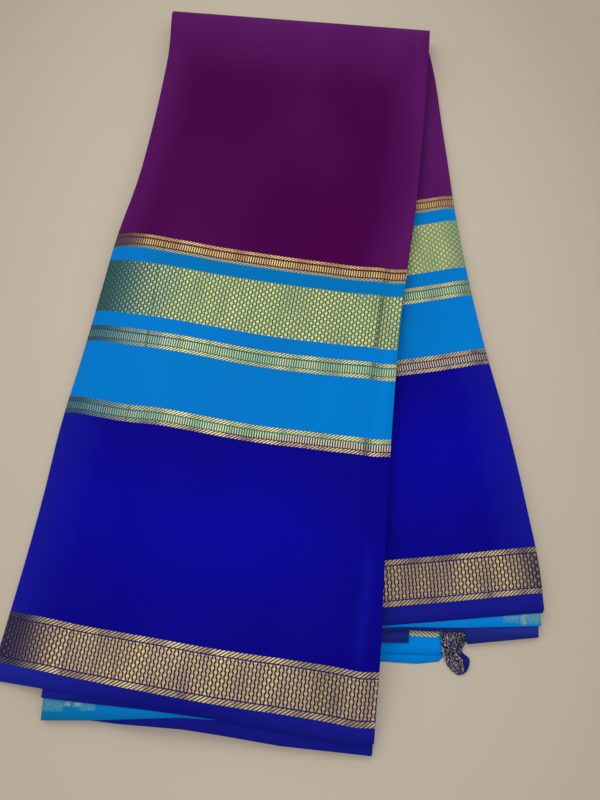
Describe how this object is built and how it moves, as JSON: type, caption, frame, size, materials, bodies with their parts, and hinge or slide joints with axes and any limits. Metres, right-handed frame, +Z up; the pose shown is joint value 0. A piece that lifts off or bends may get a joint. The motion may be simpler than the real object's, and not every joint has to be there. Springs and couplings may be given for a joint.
{
  "type": "folded silk sari",
  "caption": "Long silk cloth with woven borders, pleated into a stack and folded once over its middle, its two halves lying fanned apart on a table.",
  "frame": {"origin": "middle of the bounding box in plan, on the table under the cloth", "axes": "+X to the right, +Y from the hems towards the fold over the middle, +Z up"},
  "size_m": [0.3434, 0.6154, 0.0196],
  "materials": {
    "silk": "fine silk with a soft sheen and metal thread in its borders"
  },
  "bodies": {
    "root": {"sari": "silk"}
  },
  "joints": []
}
